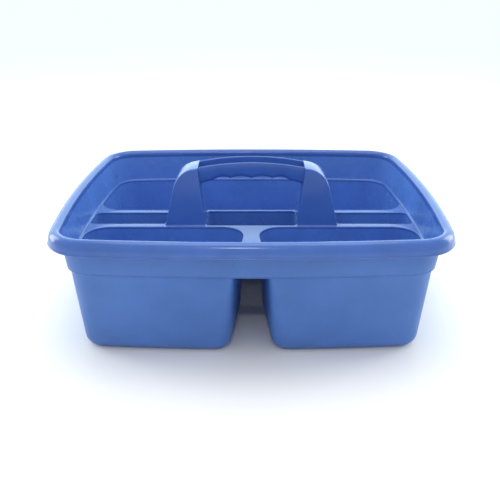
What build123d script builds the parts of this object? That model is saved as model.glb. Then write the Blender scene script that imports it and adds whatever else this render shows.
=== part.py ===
"""Cleaning caddy: a deep moulded tray with a carry handle down its middle.

Everything is in millimetres.  +Z is up, +X runs along the handle and -Y is the front, where the two
separate bins stand.  The origin is the middle of the caddy's footprint on the ground.

The caddy is one thin plastic moulding.  Its shape is built here as the zones it is made of: the rolled
rim, the wall band under it, the deck that joins the bins, three bins, three narrow pockets and the
handle.  Zones that meet do so face to face.
"""
import os
from functools import partial
from math import radians, tan

from build123d import *

# ---- overall sizes
half_length = 190.0          # rim's inner edge, middle of the sides, along X
half_width = 151.0           # rim's inner edge, middle of the front and back, along Y
side_bow = 9.9               # how far the sides bulge past their corners
front_bow = 8.6              # how far the front and back bulge past their corners
rim_corner_radius = 34.5
rim_height = 128.0           # ground to the top of the rim
handle_rise = 31.0           # top of the rim to the top of the grip

# ---- sheet thickness
wall = 2.0                   # every moulded wall and floor
deck_thickness = 2.5

# ---- rolled rim, as distances from the rim's inner edge and down from its top
rim_outside = 8.3            # reach of the lip
rim_drop = 13.8              # depth of the lip
rim_inside_round = 5.0       # radius that turns the wall outwards
rim_foot = 8.0               # depth at which the rim becomes the wall band

# ---- wall band between rim and deck
band_depth = 37.5            # top of the rim to the top of the deck
band_lean = 3.5              # how far the band leans in from top to bottom

# ---- deck and the openings in it
ledge = 2.8                  # width of the step inside the band
deck_edge_round = 1.0        # rounding of the bins' top edges
deck_outer_round = 1.6
bin_face = 26.0              # bins' near faces, from the middle of the handle
leg_to_bin = 3.0             # deck left between a handle leg and a bin
side_pocket_to_bin = 9.5     # deck left between a side pocket and a bin
middle_pocket_clearance = 0.4  # between the middle pocket's outside and a bin's, under the deck

# ---- bins
draft = tan(radians(4.5))    # lean of the bins' walls
foot_round = 13.0            # rounding between the bins' walls and floors
bin_corner_radius = 24.0     # corners beside the handle
bin_foot_corner_radius = 18.0
gap_at_front = 19.3          # half of the deck between the front bins, at their front
gap_at_back = 6.0            # the same at the bins' near faces, before the corner is rounded
gap_corner_radius = 2.0      # the front bins' front inner corner, at the deck
gap_foot_corner_radius = 15.5

# ---- pockets
pocket_depth = 52.0          # deck to pocket floor
pocket_corner_radius = 5.0
pocket_foot_corner_radius = 7.0
pocket_foot_round = 5.0

# ---- handle legs
leg_top_half_depth = 15.6    # at the grip's level
leg_inner = 50.5             # inner face at the deck
leg_inner_top = 57.5         # inner face at shoulder height
leg_outer = 94.3             # outer face at the deck
leg_corner = 80.3            # where the outer face and the sloping top would meet
leg_shoulder_radius = 27.0
leg_edge_round = 1.5
shoulder_height = 25.4       # rim top to the grip's top edge at the legs
corner_height = 21.0         # rim top to the corner of the outer face and the sloping top

# ---- finger grip
grip_set_back = 2.6          # grip's faces, inside the tops of the legs
grip_end_drop = 18.9         # depth of the grip at the legs
grip_cusp_drop = 18.6        # grip's top to the tips between the fingers
finger_pitch = 22.5          # the two middle fingers' hollows
outer_finger_pitch = 18.5    # the two outer ones
finger_depth = 2.8
finger_zone_drop = 20.3      # grip's top to its underside just outside the fingers

# ---- sizes and levels worked out from these
deck_top = rim_height - band_depth
deck_bottom = deck_top - deck_thickness
pocket_bottom = deck_top - pocket_depth - wall
band_inset_top = rim_inside_round
band_inset = band_inset_top + band_lean
bin_inset = band_inset + ledge
leg_half_depth = bin_face - leg_to_bin
side_pocket_half_width = bin_face - side_pocket_to_bin
middle_pocket_half_width = bin_face - 2 * wall - middle_pocket_clearance
grip_half_depth = leg_top_half_depth - grip_set_back
finger_zone = finger_pitch + outer_finger_pitch
shoulder_top = rim_height + shoulder_height
grip_top = rim_height + handle_rise
leg_corner_top = rim_height + corner_height
side_radius = ((half_width - front_bow) ** 2 + side_bow**2) / (2 * side_bow)
front_radius = ((half_length - side_bow) ** 2 + front_bow**2) / (2 * front_bow)
bin_radii = (bin_corner_radius, gap_corner_radius)
bin_foot_radii = (bin_foot_corner_radius, gap_foot_corner_radius)
pocket_radii = (pocket_corner_radius,)
pocket_foot_radii = (pocket_foot_corner_radius,)

os.makedirs("parts", exist_ok=True)


def save(part, name):
    """Label a finished zone and write its STEP file."""
    part.label = name
    export_step(part, f"parts/{name}.step")


def tray_outline(inset):
    """The tray in plan, this far inside the rim's inner edge: four bowed sides and round corners."""
    seam_turn = 90  # keeps the side circles' seams off the outline
    for side in (-1, 1):
        with Locations(Location((side * (half_length - side_radius), 0), seam_turn)):
            Circle(side_radius - inset, mode=Mode.ADD if side < 0 else Mode.INTERSECT)
    for side in (-1, 1):
        with Locations((0, side * (half_width - front_radius))):
            Circle(front_radius - inset, mode=Mode.INTERSECT)
    fillet(vertices(), radius=rim_corner_radius - inset)


def corner_near(x, y):
    """The outline's corner closest to a point in plan."""
    return vertices().sort_by(lambda v: (v.X - x) ** 2 + (v.Y - y) ** 2)[0]


def front_bin_outline(side, inset, corner_radius, gap_radius):
    """Front bin in plan: the tray's outline, cut at the handle and along the gap between the bins."""
    tray_outline(bin_inset + inset)
    near_y = -(bin_face + inset)
    gap_slope = (gap_at_front - gap_at_back) / (half_width - bin_face)
    gap_near = gap_at_back + inset
    gap_far = gap_near + gap_slope * half_width
    far_x = half_length
    far_y = near_y - half_width
    with BuildLine() as quarter:
        Polyline(
            (side * gap_near, near_y),
            (side * far_x, near_y),
            (side * far_x, far_y),
            (side * gap_far, far_y),
            close=True,
        )
    make_face(quarter.edges(), mode=Mode.INTERSECT)
    front_y = -(half_width - bin_inset - inset)
    front_x = side * (gap_near + gap_slope * (near_y - front_y))
    fillet([corner_near(side * far_x, near_y), corner_near(side * gap_near, near_y)], radius=corner_radius)
    fillet(corner_near(front_x, front_y), radius=gap_radius)


def rear_bin_outline(inset, corner_radius):
    """Rear bin in plan: the tray's outline, cut at the handle."""
    tray_outline(bin_inset + inset)
    near_y = bin_face + inset
    with Locations((0, near_y)):
        Rectangle(2 * half_length, half_width, align=(Align.CENTER, Align.MIN), mode=Mode.INTERSECT)
    fillet([corner_near(-half_length, near_y), corner_near(half_length, near_y)], radius=corner_radius)


def side_pocket_outline(side, inset, corner_radius):
    """Side pocket in plan: from the handle leg's outer face to the tray's side."""
    tray_outline(bin_inset + inset)
    near_x = leg_outer + inset
    length = half_length
    with Locations((side * (near_x + length / 2), 0)):
        Rectangle(length, 2 * (side_pocket_half_width - inset), mode=Mode.INTERSECT)
    fillet([corner_near(side * x, s * half_width) for x in (0, half_length) for s in (-1, 1)],
           radius=corner_radius)


def middle_pocket_outline(inset, corner_radius):
    """Middle pocket in plan: it fills the space between the handle legs."""
    RectangleRounded(2 * (leg_inner - inset), 2 * (middle_pocket_half_width - inset), corner_radius)


def tub(outline, mouth_inset, mouth_radii, foot, foot_inset, foot_radii, rounding):
    """A solid from the deck's underside down to foot, with its bottom edge rounded."""
    with BuildSketch(Plane.XY.offset(deck_bottom)) as mouth_plan:
        outline(mouth_inset, *mouth_radii)
    with BuildSketch(Plane.XY.offset(foot)) as foot_plan:
        outline(foot_inset, *foot_radii)
    with BuildPart() as solid:
        loft([mouth_plan.sketch.face(), foot_plan.sketch.face()], ruled=True)
        fillet(faces().sort_by(Axis.Z)[0].edges(), radius=rounding)
    return solid.part


def moulded_bin(outline, mouth_radii, foot_radii, bottom, rounding):
    """An open bin under the deck, one wall thick, whose walls lean in towards its floor."""
    foot_inset = draft * (deck_bottom - bottom)
    outer_mouth_radii = [radius + wall for radius in mouth_radii]
    outer_foot_radii = [radius + wall for radius in foot_radii]
    floor = bottom + wall
    floor_inset = foot_inset - draft * wall
    outside = tub(outline, -wall, outer_mouth_radii, bottom, foot_inset - wall, outer_foot_radii, rounding)
    inside = tub(outline, 0, mouth_radii, floor, floor_inset, foot_radii, rounding - wall)
    with BuildPart() as shell:
        add(outside)
        add(inside, mode=Mode.SUBTRACT)
    return shell.part


def rim_section():
    """The rolled rim's section: wall, crest, lip and its half-round edge."""
    lip_side = rim_drop - wall / 2
    with BuildLine() as outline:
        Line((-rim_inside_round, rim_foot), (-rim_inside_round, rim_inside_round))
        RadiusArc((-rim_inside_round, rim_inside_round), (0, 0), -rim_inside_round)
        EllipticalCenterArc((0, lip_side), rim_outside, lip_side, -90, arc_size=90)
        ThreePointArc((rim_outside, lip_side), (rim_outside - wall / 2, rim_drop), (rim_outside - wall, lip_side))
        EllipticalCenterArc((0, lip_side), rim_outside - wall, lip_side - wall, -90, arc_size=90)
        RadiusArc((0, wall), (wall - rim_inside_round, rim_inside_round), rim_inside_round - wall)
        Line((wall - rim_inside_round, rim_inside_round), (wall - rim_inside_round, rim_foot))
        Line((wall - rim_inside_round, rim_foot), (-rim_inside_round, rim_foot))
    make_face(outline.edges())


def band_section():
    """The wall band's section: it hangs from the rim and leans in a little."""
    with BuildLine() as outline:
        Polyline(
            (-band_inset_top, rim_foot),
            (-band_inset, band_depth),
            (wall - band_inset, band_depth),
            (wall - band_inset_top, rim_foot),
            close=True,
        )
    make_face(outline.edges())


# ---- rolled rim and wall band: two sections carried round the tray's outline
with BuildSketch(Plane.XY.offset(rim_height)) as rim_plan:
    tray_outline(0)

rim_path = rim_plan.sketch.face().outer_wire()
outwards = (rim_path % 0).cross(Vector(0, 0, 1))
section_plane = Plane(origin=rim_path @ 0, x_dir=outwards, z_dir=rim_path % 0)

for name, section in (("rolled_rim", rim_section), ("wall_band", band_section)):
    with BuildPart() as ring:
        with BuildSketch(section_plane):
            section()
        sweep(path=rim_path)
    save(ring.part, name)

# ---- bins and pockets: each is its plan outline, the radii of its corners and its depth
bins = {
    "front_left_bin": (partial(front_bin_outline, -1), bin_radii, bin_foot_radii, 0, foot_round),
    "front_right_bin": (partial(front_bin_outline, 1), bin_radii, bin_foot_radii, 0, foot_round),
    "rear_bin": (rear_bin_outline, bin_radii[:1], bin_foot_radii[:1], 0, foot_round),
    "left_pocket": (partial(side_pocket_outline, -1), pocket_radii, pocket_foot_radii, pocket_bottom,
                    pocket_foot_round),
    "right_pocket": (partial(side_pocket_outline, 1), pocket_radii, pocket_foot_radii, pocket_bottom,
                     pocket_foot_round),
    "middle_pocket": (middle_pocket_outline, pocket_radii, pocket_foot_radii, pocket_bottom,
                      pocket_foot_round),
}
for name, (outline, top_radii, foot_radii, bottom, rounding) in bins.items():
    save(moulded_bin(outline, top_radii, foot_radii, bottom, rounding), name)

# ---- deck: a plate with an opening over each bin and pocket, and under each hollow leg
with BuildPart() as deck:
    with BuildSketch(Plane.XY.offset(deck_bottom)):
        tray_outline(band_inset - wall)
    extrude(amount=deck_thickness)
    fillet(faces().sort_by(Axis.Z)[0].edges(), radius=deck_outer_round)
    for name, (outline, top_radii, *_) in bins.items():
        with BuildSketch(Plane.XY.offset(deck_bottom)):
            outline(0, *top_radii)
        extrude(amount=deck_thickness, mode=Mode.SUBTRACT)
        if name.endswith("bin"):
            fillet(edges(Select.LAST).filter_by_position(Axis.Z, deck_top, deck_top), radius=deck_edge_round)
    for side in (-1, 1):
        with BuildSketch(Plane.XY.offset(deck_bottom)):
            with Locations((side * (leg_inner + leg_outer) / 2, 0)):
                Rectangle(leg_outer - leg_inner - 2 * wall, 2 * (leg_half_depth - wall))
        extrude(amount=deck_thickness, mode=Mode.SUBTRACT)
save(deck.part, "deck")


def leg_inner_at(height):
    """Where a leg's inner face is at a height: it leans outwards going up."""
    share = (height - deck_top) / (shoulder_top - deck_top)
    return leg_inner + (leg_inner_top - leg_inner) * share


# ---- handle legs: hollow towers, open underneath, that lean in on all sides
for side, name in ((-1, "handle_left_leg"), (1, "handle_right_leg")):
    with BuildPart() as leg:
        with BuildSketch(Plane.XZ):
            with BuildLine():
                Polyline(
                    (side * leg_inner, deck_top),
                    (side * leg_outer, deck_top),
                    (side * leg_corner, leg_corner_top),
                    (side * leg_inner_top, shoulder_top),
                    close=True,
                )
            make_face()
            fillet(corner_near(side * leg_corner, leg_corner_top), radius=leg_shoulder_radius)
        extrude(amount=leg_half_depth, both=True)
        with BuildSketch(Plane.YZ):
            with BuildLine():
                Polyline(
                    (-leg_half_depth, deck_top),
                    (leg_half_depth, deck_top),
                    (leg_top_half_depth, shoulder_top),
                    (-leg_top_half_depth, shoulder_top),
                    close=True,
                )
            make_face()
        extrude(amount=half_length, both=True, mode=Mode.INTERSECT)
        bottom_edges = faces().sort_by(Axis.Z)[0].edges()
        grip_edge = edges().filter_by(Axis.Y).sort_by(Axis.Z)[-1]
        fillet(edges() - bottom_edges - [grip_edge], radius=leg_edge_round)
        offset(amount=-wall, openings=faces().sort_by(Axis.Z)[0])
    save(leg.part, name)

# ---- finger grip: an open channel between the legs, with a fingered underside
grip_end = shoulder_top - grip_end_drop
cusp = grip_top - grip_cusp_drop
zone_end = grip_top - finger_zone_drop
with BuildPart() as finger_grip:
    with BuildSketch(Plane.XZ):
        with BuildLine():
            ThreePointArc((-leg_inner_top, shoulder_top), (0, grip_top), (leg_inner_top, shoulder_top))
            for side in (-1, 1):
                Polyline(
                    (side * leg_inner_top, shoulder_top),
                    (side * leg_inner_at(grip_end), grip_end),
                    (side * finger_zone, zone_end),
                )
                outer_middle = (finger_zone + finger_pitch) / 2
                ThreePointArc(
                    (side * finger_zone, zone_end),
                    (side * outer_middle, cusp + finger_depth),
                    (side * finger_pitch, cusp),
                )
                ThreePointArc(
                    (side * finger_pitch, cusp),
                    (side * finger_pitch / 2, cusp + finger_depth),
                    (0, cusp),
                )
        make_face()
    extrude(amount=grip_half_depth, both=True)
    grip_ends = faces().filter_by(lambda f: abs(f.normal_at().X) > 0.9)
    offset(amount=-wall, openings=[faces().sort_by(Axis.Z)[-1], *grip_ends])
save(finger_grip.part, "finger_grip")
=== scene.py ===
# %% [markdown]
# # A moulded cleaning caddy
# The caddy is one thin plastic moulding: a deep tray with a rolled rim, three bins, three narrow
# pockets and a carry handle down its middle.  The frame holds it as twelve zones.  Each zone gets a
# finished mesh here, with the small roundings and the wall thickness that a mould leaves, and a plastic
# with the right grain and gloss.  The frame's boxes give every place and overall size.

# %% The frame
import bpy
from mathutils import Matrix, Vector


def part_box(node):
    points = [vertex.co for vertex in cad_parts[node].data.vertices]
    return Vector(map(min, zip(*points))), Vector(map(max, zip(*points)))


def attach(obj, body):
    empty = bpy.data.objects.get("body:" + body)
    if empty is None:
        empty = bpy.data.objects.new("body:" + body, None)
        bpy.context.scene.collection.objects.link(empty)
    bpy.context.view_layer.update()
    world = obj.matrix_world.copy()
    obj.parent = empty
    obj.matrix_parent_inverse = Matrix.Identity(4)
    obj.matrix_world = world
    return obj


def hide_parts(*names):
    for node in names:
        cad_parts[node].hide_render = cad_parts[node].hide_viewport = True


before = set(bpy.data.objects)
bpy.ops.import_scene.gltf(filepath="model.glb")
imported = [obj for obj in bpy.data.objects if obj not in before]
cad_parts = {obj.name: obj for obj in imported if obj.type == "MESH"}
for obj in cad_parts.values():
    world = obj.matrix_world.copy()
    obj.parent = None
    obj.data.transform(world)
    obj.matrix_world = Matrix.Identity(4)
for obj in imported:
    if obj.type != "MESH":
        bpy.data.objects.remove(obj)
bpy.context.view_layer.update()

from math import atan2, cos, pi, radians, sin, sqrt, tan

import bmesh
import bpy
from mathutils import Vector

print("nodes in the frame:", len(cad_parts))

# %% [markdown]
# Moulds are drawn in millimetres, so the shapes below are too, and each finished mesh is scaled to
# metres once.  The sizes that other sizes hang on are read from the frame: how high the rim and the
# deck are, how long and wide the rim is, and where the handle stands.

# %% Sizes
MM = 0.001


def node_box(node):
    """A node's lowest and highest corners in millimetres."""
    return [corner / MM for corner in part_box(node)]


rim_low, rim_high = node_box("rolled_rim")
deck_low, deck_high = node_box("deck")
leg_low, leg_high = node_box("handle_right_leg")
grip_low, grip_high = node_box("finger_grip")
pocket_low, pocket_high = node_box("middle_pocket")

RIM_REACH = 8.3            # the lip's reach outside the rim's inner edge
WALL = 2.0                 # every wall and floor
half_length = rim_high.x - RIM_REACH
half_width = rim_high.y - RIM_REACH
rim_top = rim_high.z
deck_top = deck_high.z
deck_bottom = deck_low.z
print("tray inside the rim:", round(2 * half_length, 1), "x", round(2 * half_width, 1), "mm")

# %% [markdown]
# ## Drawing an outline
# Seen from above, every zone is a closed outline of gently bowed or straight sides with round corners.
# A side is a rule that gives, for any point, how far inside it the point lies and which way is out.
# With that, the centre of a round corner is the one point that lies a radius inside both sides.

# %% Sides and corners
def bowed(centre, radius):
    """A side that is part of a large circle."""
    def measure(point):
        across = point - centre
        return radius - across.length, across.normalized()
    measure.centre = centre
    return measure


def straight(outward, distance):
    """A side that is a straight line."""
    outward = outward.normalized()

    def measure(point):
        return distance - outward.dot(point), outward
    measure.centre = None
    return measure


def corner_centre(one, two, radius, near):
    """The point that lies this radius inside both sides."""
    point = near.copy()
    for _ in range(8):
        (gap_one, out_one), (gap_two, out_two) = one(point), two(point)
        short_one, short_two = gap_one - radius, gap_two - radius
        turn = out_one.cross(out_two)
        point += Vector((short_one * out_two.y - short_two * out_one.y,
                         short_two * out_one.x - short_one * out_two.x)) / turn
    return point


# %% [markdown]
# A ring is such an outline at one height.  It starts as one vertex.  Spinning the last vertex about an
# arc's centre draws the arc, and extruding it draws a straight side, so the ring grows all the way
# round and is welded where it meets itself.

# %% Rings
CORNER_STEPS = 12
SIDE_STEPS = 20
OUTSIDE_SKIN, INSIDE_SKIN = 0, 1


def spin_on(bm, last, centre, target, steps):
    """Carry the ring on from its last vertex, round an arc to the target."""
    before, after = last.co.xy - centre, target - centre
    angle = atan2(before.cross(after), before.dot(after))
    spun = bmesh.ops.spin(bm, geom=[last], cent=(*centre, last.co.z), axis=(0, 0, 1), angle=angle,
                          steps=steps)
    return spun["geom_last"][0]


def draw_ring(bm, corners, z):
    """Draw one outline at a height.  Each corner is (side, next side, radius, a point near it)."""
    known = set(bm.edges)
    arcs = []
    for one, two, radius, near in corners:
        centre = corner_centre(one, two, radius, near)
        arcs.append((centre, centre + one(centre)[1] * radius, centre + two(centre)[1] * radius))
    first = last = bm.verts.new((*arcs[0][1], z))
    for i, (centre, _, end) in enumerate(arcs):
        last = spin_on(bm, last, centre, end, CORNER_STEPS)
        side, onward = corners[i][1], arcs[(i + 1) % len(arcs)][1]
        if side.centre is None:
            last = bmesh.ops.extrude_vert_indiv(bm, verts=[last])["verts"][0]
            last.co = (*onward, z)
        else:
            last = spin_on(bm, last, side.centre, onward, SIDE_STEPS)
    bmesh.ops.weld_verts(bm, targetmap={last: first})
    return [edge for edge in bm.edges if edge not in known]


def bridge(bm, rings, skin=OUTSIDE_SKIN):
    """Join each ring to the next one with faces of one material."""
    for one, two in zip(rings, rings[1:]):
        for face in bmesh.ops.bridge_loops(bm, edges=one + two)["faces"]:
            face.material_index = skin


# %% [markdown]
# ## The tray's outline
# The tray has four bowed sides.  All its levels share the same arc centres, so a level that lies
# further in is simply drawn with smaller radii.

# %% Outlines in plan
SIDE_BOW = 9.9             # how far the sides bulge past their corners
FRONT_BOW = 8.6            # and the front and back
RIM_CORNER = 34.5          # corner radius at the rim's inner edge
side_radius = ((half_width - FRONT_BOW) ** 2 + SIDE_BOW**2) / (2 * SIDE_BOW)
front_radius = ((half_length - SIDE_BOW) ** 2 + FRONT_BOW**2) / (2 * FRONT_BOW)


def tray_side(x, y, inset):
    """One of the tray's four sides: x or y is -1 or 1 and says which."""
    if x:
        return bowed(Vector((x * (half_length - side_radius), 0)), side_radius - inset)
    return bowed(Vector((0, y * (half_width - front_radius))), front_radius - inset)


def tray_outline(inset):
    """The whole tray, this far inside the rim's inner edge."""
    right, back, left, front = (tray_side(x, y, inset) for x, y in ((1, 0), (0, 1), (-1, 0), (0, -1)))
    radius = RIM_CORNER - inset
    near = Vector((half_length - RIM_CORNER, half_width - RIM_CORNER))
    return [(right, back, radius, near),
            (back, left, radius, near * Vector((-1, 1))),
            (left, front, radius, -near),
            (front, right, radius, near * Vector((1, -1)))]


print("side and front arcs:", round(side_radius), "and", round(front_radius), "mm")

# %% [markdown]
# ## Outlines of the bins and pockets
# The bins borrow the tray's outer sides and add straight ones along the handle.  The two front bins
# also draw apart towards the front, which leaves the wedge of deck between them.  Only the right-hand
# bin, pocket and leg are modelled: the left-hand ones are their mirror images.

# %% Bin and pocket outlines
RIM_INSIDE_ROUND = 5.0     # radius that turns the wall outwards into the rim
BAND_LEAN = 3.5            # how far the wall band leans in
LEDGE = 2.8                # step in the wall at the deck
GAP_AT_FRONT = 19.3        # half the deck between the front bins, at the front
GAP_AT_BACK = 6.0          # and beside the handle
MOUTH_ROUND = 1.0          # rounding of the openings' top edges
band_inset = RIM_INSIDE_ROUND + BAND_LEAN
bin_inset = band_inset + LEDGE
bin_face = WALL - node_box("front_right_bin")[1].y
side_pocket_half_width = node_box("right_pocket")[1].y - WALL
middle_pocket_half_width = pocket_high.y - WALL


def front_bin_outline(inset, corner, gap_corner):
    """The right-hand front bin."""
    slope = (GAP_AT_FRONT - GAP_AT_BACK) / (half_width - bin_face)
    facing_gap = Vector((-1, -slope))
    gap_line = GAP_AT_BACK + inset - slope * (bin_face + inset)
    near_inset = max(inset, -WALL)
    side = tray_side(1, 0, bin_inset + inset)
    front = tray_side(0, -1, bin_inset + inset)
    near = straight(Vector((0, 1)), -(bin_face + near_inset))
    gap = straight(facing_gap, -gap_line / facing_gap.length)
    return [(side, near, corner, Vector((150, -50))),
            (near, gap, corner, Vector((30, -50))),
            (gap, front, gap_corner, Vector((30, -130))),
            (front, side, RIM_CORNER - bin_inset - inset, Vector((150, -120)))]


def rear_bin_outline(inset, corner):
    """The rear bin, as long as the tray."""
    right, back, left = (tray_side(x, y, bin_inset + inset) for x, y in ((1, 0), (0, 1), (-1, 0)))
    near = straight(Vector((0, -1)), -(bin_face + max(inset, -WALL)))
    tray_corner = RIM_CORNER - bin_inset - inset
    return [(right, back, tray_corner, Vector((150, 120))),
            (back, left, tray_corner, Vector((-150, 120))),
            (left, near, corner, Vector((-150, 50))),
            (near, right, corner, Vector((150, 50)))]


def side_pocket_outline(inset, corner):
    """The right-hand pocket, from the leg's outer face to the tray's side."""
    side = tray_side(1, 0, bin_inset + inset)
    back, front = (straight(Vector((0, y)), side_pocket_half_width - inset) for y in (1, -1))
    near = straight(Vector((-1, 0)), -(leg_high.x + against_leg(inset)))
    return [(side, back, corner, Vector((170, 10))), (back, near, corner, Vector((105, 10))),
            (near, front, corner, Vector((105, -10))), (front, side, corner, Vector((170, -10)))]


def against_leg(inset):
    """The same inset, but with no rounding where a pocket's mouth lies under a leg."""
    return 0 if -MOUTH_ROUND <= inset < 0 else inset


def rectangle_outline(low, high, corner):
    """A rectangle with round corners."""
    right, left = straight(Vector((1, 0)), high.x), straight(Vector((-1, 0)), -low.x)
    back, front = straight(Vector((0, 1)), high.y), straight(Vector((0, -1)), -low.y)
    middle = (low + high) / 2
    return [(right, back, corner, middle), (back, left, corner, middle),
            (left, front, corner, middle), (front, right, corner, middle)]


def middle_pocket_outline(inset, corner):
    """The pocket that fills the space between the handle's legs."""
    high = Vector((leg_low.x - against_leg(inset), middle_pocket_half_width - inset))
    return rectangle_outline(-high, high, corner)


print("bins start", round(bin_face, 1), "mm from the handle's middle")

# %% [markdown]
# ## Plastics
# The caddy is one blue polypropylene.  What differs is the mould's surface: polished where the rim,
# deck and handle were cut, and spark-grained on the outer walls.  The inside faces are as smooth, in a
# paler blue that is painted fill light: it lifts the bins, which otherwise look too dark inside.  All
# three share one recipe of noise on the object's own coordinates: a faint mottle in the colour, an
# uneven gloss, a grain in the surface, and scuffs where the plastic rubs on shelves and floors.

# %% Plastic recipe
def link(tree, source, target):
    tree.links.new(source, target)


def noise(tree, place, scale, detail=3.0):
    """A noise pattern in the object's metres."""
    node = tree.nodes.new("ShaderNodeTexNoise")
    node.inputs["Scale"].default_value = scale
    node.inputs["Detail"].default_value = detail
    link(tree, place, node.inputs["Vector"])
    return node.outputs["Fac"]


def remap(tree, value, low, high, to_low, to_high):
    """A value from one range, carried to another."""
    node = tree.nodes.new("ShaderNodeMapRange")
    for name, number in (("From Min", low), ("From Max", high), ("To Min", to_low), ("To Max", to_high)):
        node.inputs[name].default_value = number
    link(tree, value, node.inputs["Value"])
    return node.outputs["Result"]


def blend_colours(tree, share, one, two):
    """Mix two colours; each is a colour or another node's output."""
    node = tree.nodes.new("ShaderNodeMix")
    node.data_type = "RGBA"
    link(tree, share, node.inputs["Factor"])
    for name, colour in (("A", one), ("B", two)):
        socket = next(s for s in node.inputs if s.name == name and s.type == "RGBA")
        if isinstance(colour, tuple):
            socket.default_value = (*colour, 1)
        else:
            link(tree, colour, socket)
    return next(s for s in node.outputs if s.type == "RGBA")


def plastic(name, colour, gloss, grain_scale, grain_height, scuff_amount):
    """A moulded plastic: its colour, the range of its roughness, and its grain."""
    material = bpy.data.materials.new(name)
    material.use_nodes = True
    tree = material.node_tree
    shader = tree.nodes["Principled BSDF"]
    place = tree.nodes.new("ShaderNodeTexCoord").outputs["Object"]
    darker = tuple(0.93 * part for part in colour)
    lighter = tuple(min(1, 1.06 * part) for part in colour)
    mottle = remap(tree, noise(tree, place, 26), 0.35, 0.65, 0, 1)
    base = blend_colours(tree, mottle, darker, lighter)
    stretched = tree.nodes.new("ShaderNodeMapping")
    stretched.inputs["Scale"].default_value = (1, 1, 7)
    stretched.inputs["Rotation"].default_value = (0.5, 0.3, 0)
    link(tree, place, stretched.inputs["Vector"])
    scratches = noise(tree, stretched.outputs["Vector"], 210, 6)
    scuffs = remap(tree, scratches, 0.66, 0.74, 0, scuff_amount)
    worn = tuple(0.6 * part + 0.22 for part in colour)
    link(tree, blend_colours(tree, scuffs, base, worn), shader.inputs["Base Color"])
    link(tree, remap(tree, noise(tree, place, 60), 0.3, 0.7, *gloss), shader.inputs["Roughness"])
    bump = tree.nodes.new("ShaderNodeBump")
    bump.inputs["Strength"].default_value = 0.5
    bump.inputs["Distance"].default_value = grain_height * MM
    link(tree, noise(tree, place, grain_scale, 4), bump.inputs["Height"])
    link(tree, bump.outputs["Normal"], shader.inputs["Normal"])
    shader.inputs["IOR"].default_value = 1.49
    shader.inputs["Subsurface Weight"].default_value = 0.15
    shader.inputs["Subsurface Radius"].default_value = (0.6, 0.9, 1.2)
    shader.inputs["Subsurface Scale"].default_value = 0.003
    return material


smooth_blue = plastic("smooth_blue_plastic", (0.050, 0.128, 0.42), (0.16, 0.22), 140, 0.04, 0.10)
grained_blue = plastic("grained_blue_plastic", (0.058, 0.158, 0.46), (0.40, 0.50), 1100, 0.35, 0.16)
# painted fill light: the inside faces get a paler copy of the blue, standing in for light that does not
# reach into the bins
painted_fill_blue = plastic("inside_blue_plastic", (0.085, 0.200, 0.55), (0.22, 0.30), 140, 0.04, 0.06)
print("plastics:", smooth_blue.name, grained_blue.name, painted_fill_blue.name)

# %% [markdown]
# A finished bmesh becomes an object with its place in its mesh.  The moulded corners are modelled, so
# faces are shaded smooth and only the few truly sharp edges, such as those that lie against the next
# zone, are kept sharp.  The piece then takes the place of its node in the frame.

# %% Finishing a piece
SHARP = radians(38)
MERGE = 0.002              # vertices this close are one


def finish_piece(bm, name, materials, node):
    """Scale the mesh to metres and hand it over to the frame."""
    bmesh.ops.remove_doubles(bm, verts=bm.verts, dist=MERGE)
    bmesh.ops.recalc_face_normals(bm, faces=bm.faces)
    bmesh.ops.scale(bm, vec=(MM, MM, MM), verts=bm.verts)
    mesh = bpy.data.meshes.new(name)
    bm.to_mesh(mesh)
    bm.free()
    mesh.shade_smooth()
    mesh.set_sharp_from_angle(angle=SHARP)
    for material in materials:
        mesh.materials.append(material)
    piece = bpy.data.objects.new(name, mesh)
    bpy.context.scene.collection.objects.link(piece)
    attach(piece, "root")
    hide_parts(node)
    print(name, len(mesh.polygons), "faces")
    return piece


def mirrored(bm):
    """A copy of a mesh, seen in the plane between left and right."""
    other = bm.copy()
    bmesh.ops.scale(other, vec=(-1, 1, 1), verts=other.verts)
    bmesh.ops.reverse_faces(other, faces=other.faces)
    return other


def arc_points(centre, reach, start, end, steps):
    """Points on an upright arc or ellipse, as pairs of distance outwards and height."""
    for i in range(steps + 1):
        angle = radians(start + (end - start) * i / steps)
        yield centre[0] + reach[0] * cos(angle), centre[1] + reach[1] * sin(angle)


# %% [markdown]
# ## Rolled rim
# The wall turns outwards over a tight crest and rolls down in a wide elliptical lip with a half-round
# edge.  A sweep along a curve would do, but the ring of offset outlines keeps the corners exactly
# concentric, so the highlight runs round the lip without a kink.

# %% Rolled rim
RIM_DROP = 13.8            # depth of the lip
RIM_FOOT = 8.0             # depth at which the rim becomes the wall band
LIP_EDGE = WALL / 2
BEAD = 0.7                 # how far the lip's edge stands out from the lip
BEAD_RISE = 1.0            # height of the bead
lip_side = RIM_DROP - LIP_EDGE
lip_reach = RIM_REACH - BEAD
lip_fall = lip_side - BEAD_RISE

rim_levels = [(-RIM_INSIDE_ROUND, -RIM_FOOT)]
rim_levels += arc_points((0, -RIM_INSIDE_ROUND), (RIM_INSIDE_ROUND,) * 2, 180, 90, 8)
rim_levels += list(arc_points((0, -lip_fall), (lip_reach, lip_fall), 90, 0, 14))[1:]
rim_levels += list(arc_points((RIM_REACH, -lip_fall), (BEAD, BEAD_RISE), 180, 270, 4))[1:]
rim_levels += list(arc_points((RIM_REACH - LIP_EDGE, -lip_side), (LIP_EDGE,) * 2, 0, -180, 8))[1:]
rim_levels += list(arc_points((0, -lip_side), (RIM_REACH - WALL, lip_side - WALL), 0, 90, 12))[1:]
rim_levels += list(arc_points((0, -RIM_INSIDE_ROUND), (RIM_INSIDE_ROUND - WALL,) * 2, 90, 180, 5))[1:]
rim_levels += [(WALL - RIM_INSIDE_ROUND, -RIM_FOOT)]

bm = bmesh.new()
rings = [draw_ring(bm, tray_outline(-out), rim_top + up) for out, up in rim_levels]
bridge(bm, rings + rings[:1])
finish_piece(bm, "rolled_rim_moulding", [smooth_blue], "rolled_rim")

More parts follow.
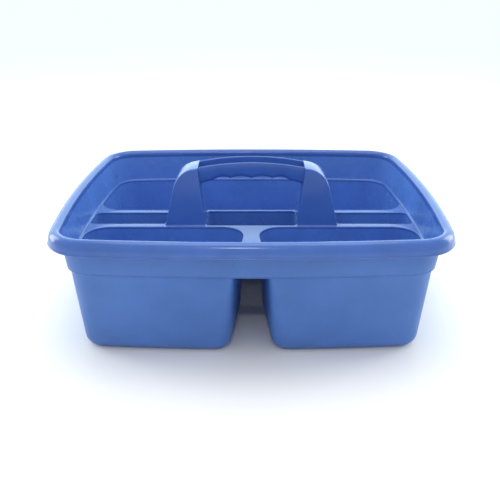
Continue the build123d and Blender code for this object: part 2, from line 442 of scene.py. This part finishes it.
# %% [markdown]
# ## Wall band
# Under the rim the wall drops to the deck, leaning in a little so that it leaves the mould.  Where it
# lands on the deck the mould has a small round corner, which catches a thin line of light.

# %% Wall band
BAND_FOOT_ROUND = 1.3      # where the wall meets the deck
band_levels = [(RIM_INSIDE_ROUND, rim_top - RIM_FOOT)]
band_levels += arc_points((band_inset + BAND_FOOT_ROUND, deck_top + BAND_FOOT_ROUND),
                          (BAND_FOOT_ROUND,) * 2, 180, 270, 5)
band_levels += [(band_inset - WALL, deck_top), (RIM_INSIDE_ROUND - WALL, rim_top - RIM_FOOT)]

bm = bmesh.new()
rings = [draw_ring(bm, tray_outline(inset), z) for inset, z in band_levels]
bridge(bm, rings[:-2], INSIDE_SKIN)
bridge(bm, rings[-3:] + rings[:1])
finish_piece(bm, "wall_band_moulding", [grained_blue, painted_fill_blue], "wall_band")

# %% [markdown]
# ## Bins and pockets
# Each is an open box with leaning walls, drawn as two stacks of rings: the outside down to the floor,
# and the inside one wall further in.  The floor's rounding is an arc that touches both the leaning
# wall and the floor, and the corners tighten as it turns under.

# %% Walls that lean in and round under
DRAFT = tan(radians(4.5))  # lean of the walls
FLARE = 0.9                # rounding under the ledge
FOOT_STEPS = 8
MOUTH_STEP = 0.01          # two rings in one plane have no order, and would be bridged crosswise


def wall_inset(z, start):
    """How far in the wall is at a height."""
    return start + DRAFT * (deck_bottom - z)


def wall_levels(bottom, start, rounding):
    """Insets and heights down the wall and round its foot."""
    lean = atan2(DRAFT, 1)
    middle = (wall_inset(bottom + rounding, start) + rounding / cos(lean), bottom + rounding)
    foot = arc_points(middle, (rounding,) * 2, 180 + lean * 180 / pi, 270, FOOT_STEPS)
    return [(start, deck_bottom), *foot]


def flare_levels(start):
    """Insets and heights of the rounding under the ledge, and where the wall goes on from it."""
    foot = deck_bottom - FLARE
    rounding = list(arc_points((start - FLARE, foot), (FLARE,) * 2, 90, 0, 4))[:-1]
    return rounding + [(wall_inset(foot, start), foot)]


def moulded_tub(outline, mouth_radii, foot_radii, bottom, rounding, flared):
    """A bin or pocket: outside and inside rings, joined at the mouth and closed by two floors."""
    bm = bmesh.new()
    rings = []
    skins = ((-WALL, WALL, bottom, rounding), (0, 0, bottom + WALL, rounding - WALL))
    for start, extra, floor, turn in skins:
        levels = wall_levels(floor, start, turn)
        if flared and start:
            levels = flare_levels(start) + levels[1:]
        stack = []
        for inset, z in levels:
            down = (deck_bottom - z) / (deck_bottom - floor)
            tighter = inset - wall_inset(z, start)
            radii = [mouth + extra + (foot - mouth) * down - tighter
                     for mouth, foot in zip(mouth_radii, foot_radii)]
            stack.append(draw_ring(bm, outline(inset, *radii), z))
        rings.append(stack)
    outside, inside = rings
    for vert in {vert for edge in inside[0] for vert in edge.verts}:
        vert.co.z -= MOUTH_STEP
    bridge(bm, outside[::-1] + inside[:1])
    bridge(bm, inside, INSIDE_SKIN)
    for skin, ring in ((OUTSIDE_SKIN, outside[-1]), (INSIDE_SKIN, inside[-1])):
        for face in bmesh.ops.contextual_create(bm, geom=ring)["faces"]:
            face.material_index = skin
    return bm


BIN_MOUTH, BIN_FOOT = 24.0, 18.0   # corners beside the handle
GAP_MOUTH, GAP_FOOT = 2.0, 15.5    # front corners beside the gap
POCKET_MOUTH, POCKET_FOOT = 5.0, 7.0
FOOT_ROUND = 13.0
POCKET_FOOT_ROUND = 5.0

front_bin = moulded_tub(front_bin_outline, (BIN_MOUTH, GAP_MOUTH), (BIN_FOOT, GAP_FOOT), 0,
                        FOOT_ROUND, True)
rear_bin = moulded_tub(rear_bin_outline, (BIN_MOUTH,), (BIN_FOOT,), 0, FOOT_ROUND, True)
side_pocket = moulded_tub(side_pocket_outline, (POCKET_MOUTH,), (POCKET_FOOT,), pocket_low.z,
                          POCKET_FOOT_ROUND, False)
middle_pocket = moulded_tub(middle_pocket_outline, (POCKET_MOUTH,), (POCKET_FOOT,), pocket_low.z,
                            POCKET_FOOT_ROUND, False)
tubs = {
    "front_left_bin": mirrored(front_bin), "front_right_bin": front_bin, "rear_bin": rear_bin,
    "left_pocket": mirrored(side_pocket), "right_pocket": side_pocket, "middle_pocket": middle_pocket,
}
for node, tub in tubs.items():
    finish_piece(tub, node + "_moulding", [grained_blue, painted_fill_blue], node)

# %% [markdown]
# ## Deck
# The deck is a flat plate with a rounded mouth over every bin and pocket.  The mouths' edges are drawn
# first, as short stacks of rings, and the flat faces are then filled in between all the loops at once.

# %% Deck
DECK_ROUND = 1.6           # under the deck's outer edge
LEG_FILLET = 1.3           # where a leg meets the deck
LEG_EDGE_ROUND = 1.5       # a leg's outer edges
FLAT = 0.01                # points this close in height lie in one plane


def mouth_levels():
    """Insets and heights from the deck's top down into an opening."""
    rounding = arc_points((-MOUTH_ROUND, deck_top - MOUTH_ROUND), (MOUTH_ROUND,) * 2, 90, 0, 5)
    return [*rounding, (0, deck_bottom)]


def draw_mouth(bm, outline, radii):
    """The rounded edge of one opening."""
    rings = [draw_ring(bm, outline(inset, *(radius - inset for radius in radii)), z)
             for inset, z in mouth_levels()]
    bridge(bm, rings)


def leg_foot_outline(outset):
    """A handle leg's footprint, grown outwards at the front and back, where there is deck."""
    sideways = min(outset, 0)
    low = Vector((leg_low.x - sideways, leg_low.y - outset))
    high = Vector((leg_high.x + sideways, leg_high.y + outset))
    return rectangle_outline(low, high, LEG_EDGE_ROUND)


def draw_leg_fillet(bm):
    """The round corner between a leg and the deck, and the hole inside the hollow leg."""
    levels = list(arc_points((LEG_FILLET, deck_top + LEG_FILLET), (LEG_FILLET,) * 2, 270, 180, 5))
    rings = [draw_ring(bm, leg_foot_outline(out), z) for out, z in levels]
    rings += [draw_ring(bm, leg_foot_outline(-WALL / 2), deck_top + LEG_FILLET)]
    rings += [draw_ring(bm, leg_foot_outline(-WALL / 2), deck_bottom)]
    bridge(bm, rings)


def fill_flat(bm, z):
    """Fill the plane between all the open loops at a height."""
    loops = [edge for edge in bm.edges
             if len(edge.link_faces) == 1 and all(abs(vert.co.z - z) < FLAT for vert in edge.verts)]
    bmesh.ops.triangle_fill(bm, use_beauty=True, edges=loops)


deck = bmesh.new()
draw_mouth(deck, front_bin_outline, (BIN_MOUTH, GAP_MOUTH))
draw_mouth(deck, side_pocket_outline, (POCKET_MOUTH,))
draw_leg_fillet(deck)
bmesh.ops.mirror(deck, geom=deck.verts[:] + deck.edges[:] + deck.faces[:], axis="X", merge_dist=-1)
draw_mouth(deck, rear_bin_outline, (BIN_MOUTH,))
draw_mouth(deck, middle_pocket_outline, (POCKET_MOUTH,))
deck_outer = band_inset - WALL
deck_edge = [(deck_outer, deck_top)]
deck_edge += arc_points((deck_outer + DECK_ROUND, deck_bottom + DECK_ROUND), (DECK_ROUND,) * 2,
                        180, 270, 6)
bridge(deck, [draw_ring(deck, tray_outline(inset), z) for inset, z in deck_edge])
for z in (deck_top, deck_bottom):
    fill_flat(deck, z)
finish_piece(deck, "deck_moulding", [smooth_blue], "deck")

# %% [markdown]
# ## Handle legs
# A leg is a hollow tower that leans in on every side.  Its outline seen from the front is drawn with
# one spun shoulder, given depth by an extrusion, and leant in by moving each point's depth with its
# height.  The open foot is cut away, the walls are solidified inwards, and the outer edges are
# bevelled last so that the bevel stays even.

# %% Handle legs
LEG_CORNER = Vector((80.3, rim_top + 21.0))      # where the outer face and sloping top would meet
LEG_INNER_TOP = 57.5                             # inner face at the top
LEG_TOP_HALF_DEPTH = 15.6
SHOULDER = 27.0                                  # radius between the outer face and the top
shoulder_top = leg_high.z


def share_up(z):
    """0 at the deck and 1 at the leg's top."""
    return (z - deck_top) / (shoulder_top - deck_top)


def go_to(bm, last, place):
    """Extrude the last vertex to a new place."""
    vert = bmesh.ops.extrude_vert_indiv(bm, verts=[last])["verts"][0]
    vert.co = place
    return vert


def leg_profile(bm):
    """The leg seen from the front, as a closed loop."""
    foot, top = Vector((leg_high.x, deck_top)), Vector((LEG_INNER_TOP, shoulder_top))
    outer_face, sloping_top = LEG_CORNER - foot, top - LEG_CORNER
    out, up = Vector((outer_face.y, -outer_face.x)), Vector((sloping_top.y, -sloping_top.x))
    outer = straight(out, foot.dot(out.normalized()))
    above = straight(up, top.dot(up.normalized()))
    centre = corner_centre(outer, above, SHOULDER, LEG_CORNER)
    start, end = (centre + side(centre)[1] * SHOULDER for side in (outer, above))
    angle = (start - centre).angle(end - centre)
    first = bm.verts.new((leg_low.x, 0, deck_top))
    last = go_to(bm, first, (foot.x, 0, foot.y))
    last = go_to(bm, last, (start.x, 0, start.y))
    last = bmesh.ops.spin(bm, geom=[last], cent=(centre.x, 0, centre.y), axis=(0, -1, 0), angle=angle,
                          steps=16)["geom_last"][0]
    last = go_to(bm, last, (top.x, 0, top.y))
    bm.edges.new((last, first))


leg = bmesh.new()
leg_profile(leg)
face = bmesh.ops.contextual_create(leg, geom=leg.edges[:])["faces"]
back = [item for item in bmesh.ops.extrude_face_region(leg, geom=face)["geom"]
        if isinstance(item, bmesh.types.BMVert)]
for vert in leg.verts:
    half_depth = leg_high.y + (LEG_TOP_HALF_DEPTH - leg_high.y) * share_up(vert.co.z)
    vert.co.y = half_depth if vert in back else -half_depth
bmesh.ops.recalc_face_normals(leg, faces=leg.faces)
bottom = [face for face in leg.faces if face.normal.z < -0.9]
bmesh.ops.delete(leg, geom=bottom, context="FACES_ONLY")
outer_edges = [edge for edge in leg.edges if len(edge.link_faces) == 2 and edge.calc_face_angle() > SHARP
               and not all(abs(vert.co.z - shoulder_top) < FLAT for vert in edge.verts)]
bmesh.ops.solidify(leg, geom=leg.faces[:], thickness=WALL)
bmesh.ops.bevel(leg, geom=outer_edges, offset=LEG_EDGE_ROUND, affect="EDGES", segments=4, profile=0.5,
                material=-1, clamp_overlap=True)
for bm, node in ((mirrored(leg), "handle_left_leg"), (leg, "handle_right_leg")):
    finish_piece(bm, node + "_moulding", [smooth_blue], node)

# %% [markdown]
# ## Finger grip
# The grip is an open channel whose underside is hollowed for four fingers.  Its section is a U with
# round lips and round lower corners.  The same section is drawn at many stations along the handle,
# each as deep as the underside is there, and the stations are bridged.

# %% Finger grip
FINGER_PITCH = 22.5        # the two middle hollows
OUTER_FINGER = 18.5        # the two outer ones
FINGER_DEPTH = 2.8
CUSP_DROP = 18.6           # from the grip's top down to the cusps between fingers
ZONE_DROP = 20.3           # to the end of the hollows
END_DROP = 18.9            # from the legs' top down to the grip's ends
GRIP_CORNER = 4.5
STATION = 0.8              # spacing of the sections
grip_half_depth = grip_high.y
zone = FINGER_PITCH + OUTER_FINGER
crown = grip_high.z - shoulder_top
crown_radius = (LEG_INNER_TOP**2 + crown**2) / (2 * crown)


def leg_inner_at(z):
    """Where the legs' inner faces are at a height."""
    return leg_low.x + (LEG_INNER_TOP - leg_low.x) * share_up(z)


def grip_top_at(x):
    """The grip's gently arched top."""
    return grip_high.z - crown_radius + sqrt(crown_radius**2 - x**2)


def grip_underside_at(x):
    """The underside: hollows for four fingers, then a plain stretch to the leg."""
    x = abs(x)
    cusp, zone_end = grip_high.z - CUSP_DROP, grip_high.z - ZONE_DROP
    if x > zone:
        end = shoulder_top - END_DROP
        return zone_end + (end - zone_end) * (x - zone) / (leg_inner_at(end) - zone)
    start, length, rise = 0, FINGER_PITCH, 0
    if x >= FINGER_PITCH:
        start, length, rise = FINGER_PITCH, OUTER_FINGER, zone_end - cusp
    along = (x - start) / length
    return cusp + rise * along + FINGER_DEPTH * (1 - (2 * along - 1) ** 2)


def grip_station(bm, x):
    """The U-shaped section at one place along the handle."""
    known = set(bm.edges)
    top, bottom = grip_top_at(x) - WALL / 2, grip_underside_at(x)
    side, low = grip_half_depth, bottom + GRIP_CORNER
    inner, lip = side - WALL, side - WALL / 2
    middle = side - GRIP_CORNER

    def turn(last, y, z, angle, steps):
        return bmesh.ops.spin(bm, geom=[last], cent=(x, y, z), axis=(1, 0, 0), angle=radians(angle),
                              steps=steps)["geom_last"][0]

    first = last = bm.verts.new((x, -side, top))
    last = turn(go_to(bm, last, (x, -side, low)), -middle, low, 90, 6)
    last = turn(go_to(bm, last, (x, middle, bottom)), middle, low, 90, 6)
    last = turn(go_to(bm, last, (x, side, top)), lip, top, 180, 8)
    last = turn(go_to(bm, last, (x, inner, low)), middle, low, -90, 4)
    last = turn(go_to(bm, last, (x, -middle, bottom + WALL)), -middle, low, -90, 4)
    last = turn(go_to(bm, last, (x, -inner, top)), -lip, top, 180, 8)
    bmesh.ops.weld_verts(bm, targetmap={last: first})
    return [edge for edge in bm.edges if edge not in known]


grip = bmesh.new()
reach = leg_inner_at(shoulder_top - END_DROP) - STATION
count = round(2 * reach / STATION)
stations = [grip_station(grip, -reach + 2 * reach * i / count) for i in range(count + 1)]
ends = []
for side in (-1, 1):
    end = grip_station(grip, side * LEG_INNER_TOP)
    for vert in {vert for edge in end for vert in edge.verts}:
        vert.co.x = side * leg_inner_at(vert.co.z)
    ends.append(end)
bridge(grip, [ends[0], *stations, ends[1]])
for end in ends:
    bmesh.ops.contextual_create(grip, geom=end)
finish_piece(grip, "finger_grip_moulding", [smooth_blue], "finger_grip")

# %% [markdown]
# ## Studio
# A pale floor, a room that is bright behind the caddy and darker on the camera's side, and softboxes
# above it and at both sides: the deck and the caps of the handle mirror the bright side, and the faces
# turned to the camera stay deep blue.

# %% Floor
floor = bpy.data.meshes.new("studio_floor")
bm = bmesh.new()
bmesh.ops.create_grid(bm, x_segments=1, y_segments=1, size=30)
bm.to_mesh(floor)
bm.free()
floor_object = bpy.data.objects.new("studio_floor", floor)
bpy.context.scene.collection.objects.link(floor_object)
pale = bpy.data.materials.new("pale_floor")
pale.use_nodes = True
pale.node_tree.nodes["Principled BSDF"].inputs["Base Color"].default_value = (0.87, 0.87, 0.87, 1)
pale.node_tree.nodes["Principled BSDF"].inputs["Roughness"].default_value = 0.8
floor.materials.append(pale)

# %% Room light
world = bpy.data.worlds.new("white_room")
bpy.context.scene.world = world
world.use_nodes = True
tree = world.node_tree
direction = tree.nodes.new("ShaderNodeTexCoord").outputs["Generated"]
parts = tree.nodes.new("ShaderNodeSeparateXYZ")
link(tree, direction, parts.inputs["Vector"])
brightness = remap(tree, parts.outputs["Y"], 0.05, 0.75, 0.74, 2.3)
link(tree, brightness, tree.nodes["Background"].inputs["Strength"])
behind = remap(tree, parts.outputs["Y"], 0.0, 0.5, 0, 1)
tint = blend_colours(tree, behind, (0.97, 0.98, 1.0), (0.80, 0.97, 1.0))
link(tree, tint, tree.nodes["Background"].inputs["Color"])


def softbox(name, place, aim, size, power):
    """A rectangular area light that points at a place."""
    light = bpy.data.lights.new(name, "AREA")
    light.shape = "RECTANGLE"
    light.size, light.size_y = size
    light.energy = power
    lamp = bpy.data.objects.new(name, light)
    lamp.location = place
    lamp.rotation_euler = (Vector(aim) - Vector(place)).to_track_quat("-Z", "Y").to_euler()
    bpy.context.scene.collection.objects.link(lamp)


softbox("top_softbox", (0, -0.1, 1.3), (0, 0, 0.1), (1.0, 0.8), 6)
softbox("left_softbox", (-1.2, 0.35, 0.45), (0, 0, 0.08), (0.5, 0.8), 6)
softbox("right_softbox", (1.2, 0.35, 0.45), (0, 0, 0.08), (0.5, 0.8), 6)
softbox("front_strip", (-0.04, -0.9, 0.9), (0, 0, 0.1), (0.10, 0.05), 1.0)
bpy.context.scene.view_settings.view_transform = "Standard"

# %% [markdown]
# ## Camera
# The caddy is seen from straight in front and 25 degrees above, from close by, which is why the rear
# rim looks so much shorter than the front one.

# %% Camera
LOOK_DOWN = 25             # degrees
CAMERA_BACK = 637.0        # in front of the caddy's middle
CAMERA_UP = 219.4          # above the rim
camera = bpy.data.objects.new("camera", bpy.data.cameras.new("camera"))
bpy.context.scene.collection.objects.link(camera)
camera.location = Vector((0, -CAMERA_BACK, rim_top + CAMERA_UP)) * MM
camera.rotation_euler = (radians(90 - LOOK_DOWN), 0, 0)
camera.data.sensor_width = 36      # the lens below goes with this sensor
camera.data.lens = 43.63
camera.data.shift_x = -0.0028
camera.data.clip_start = 0.01
bpy.context.scene.camera = camera
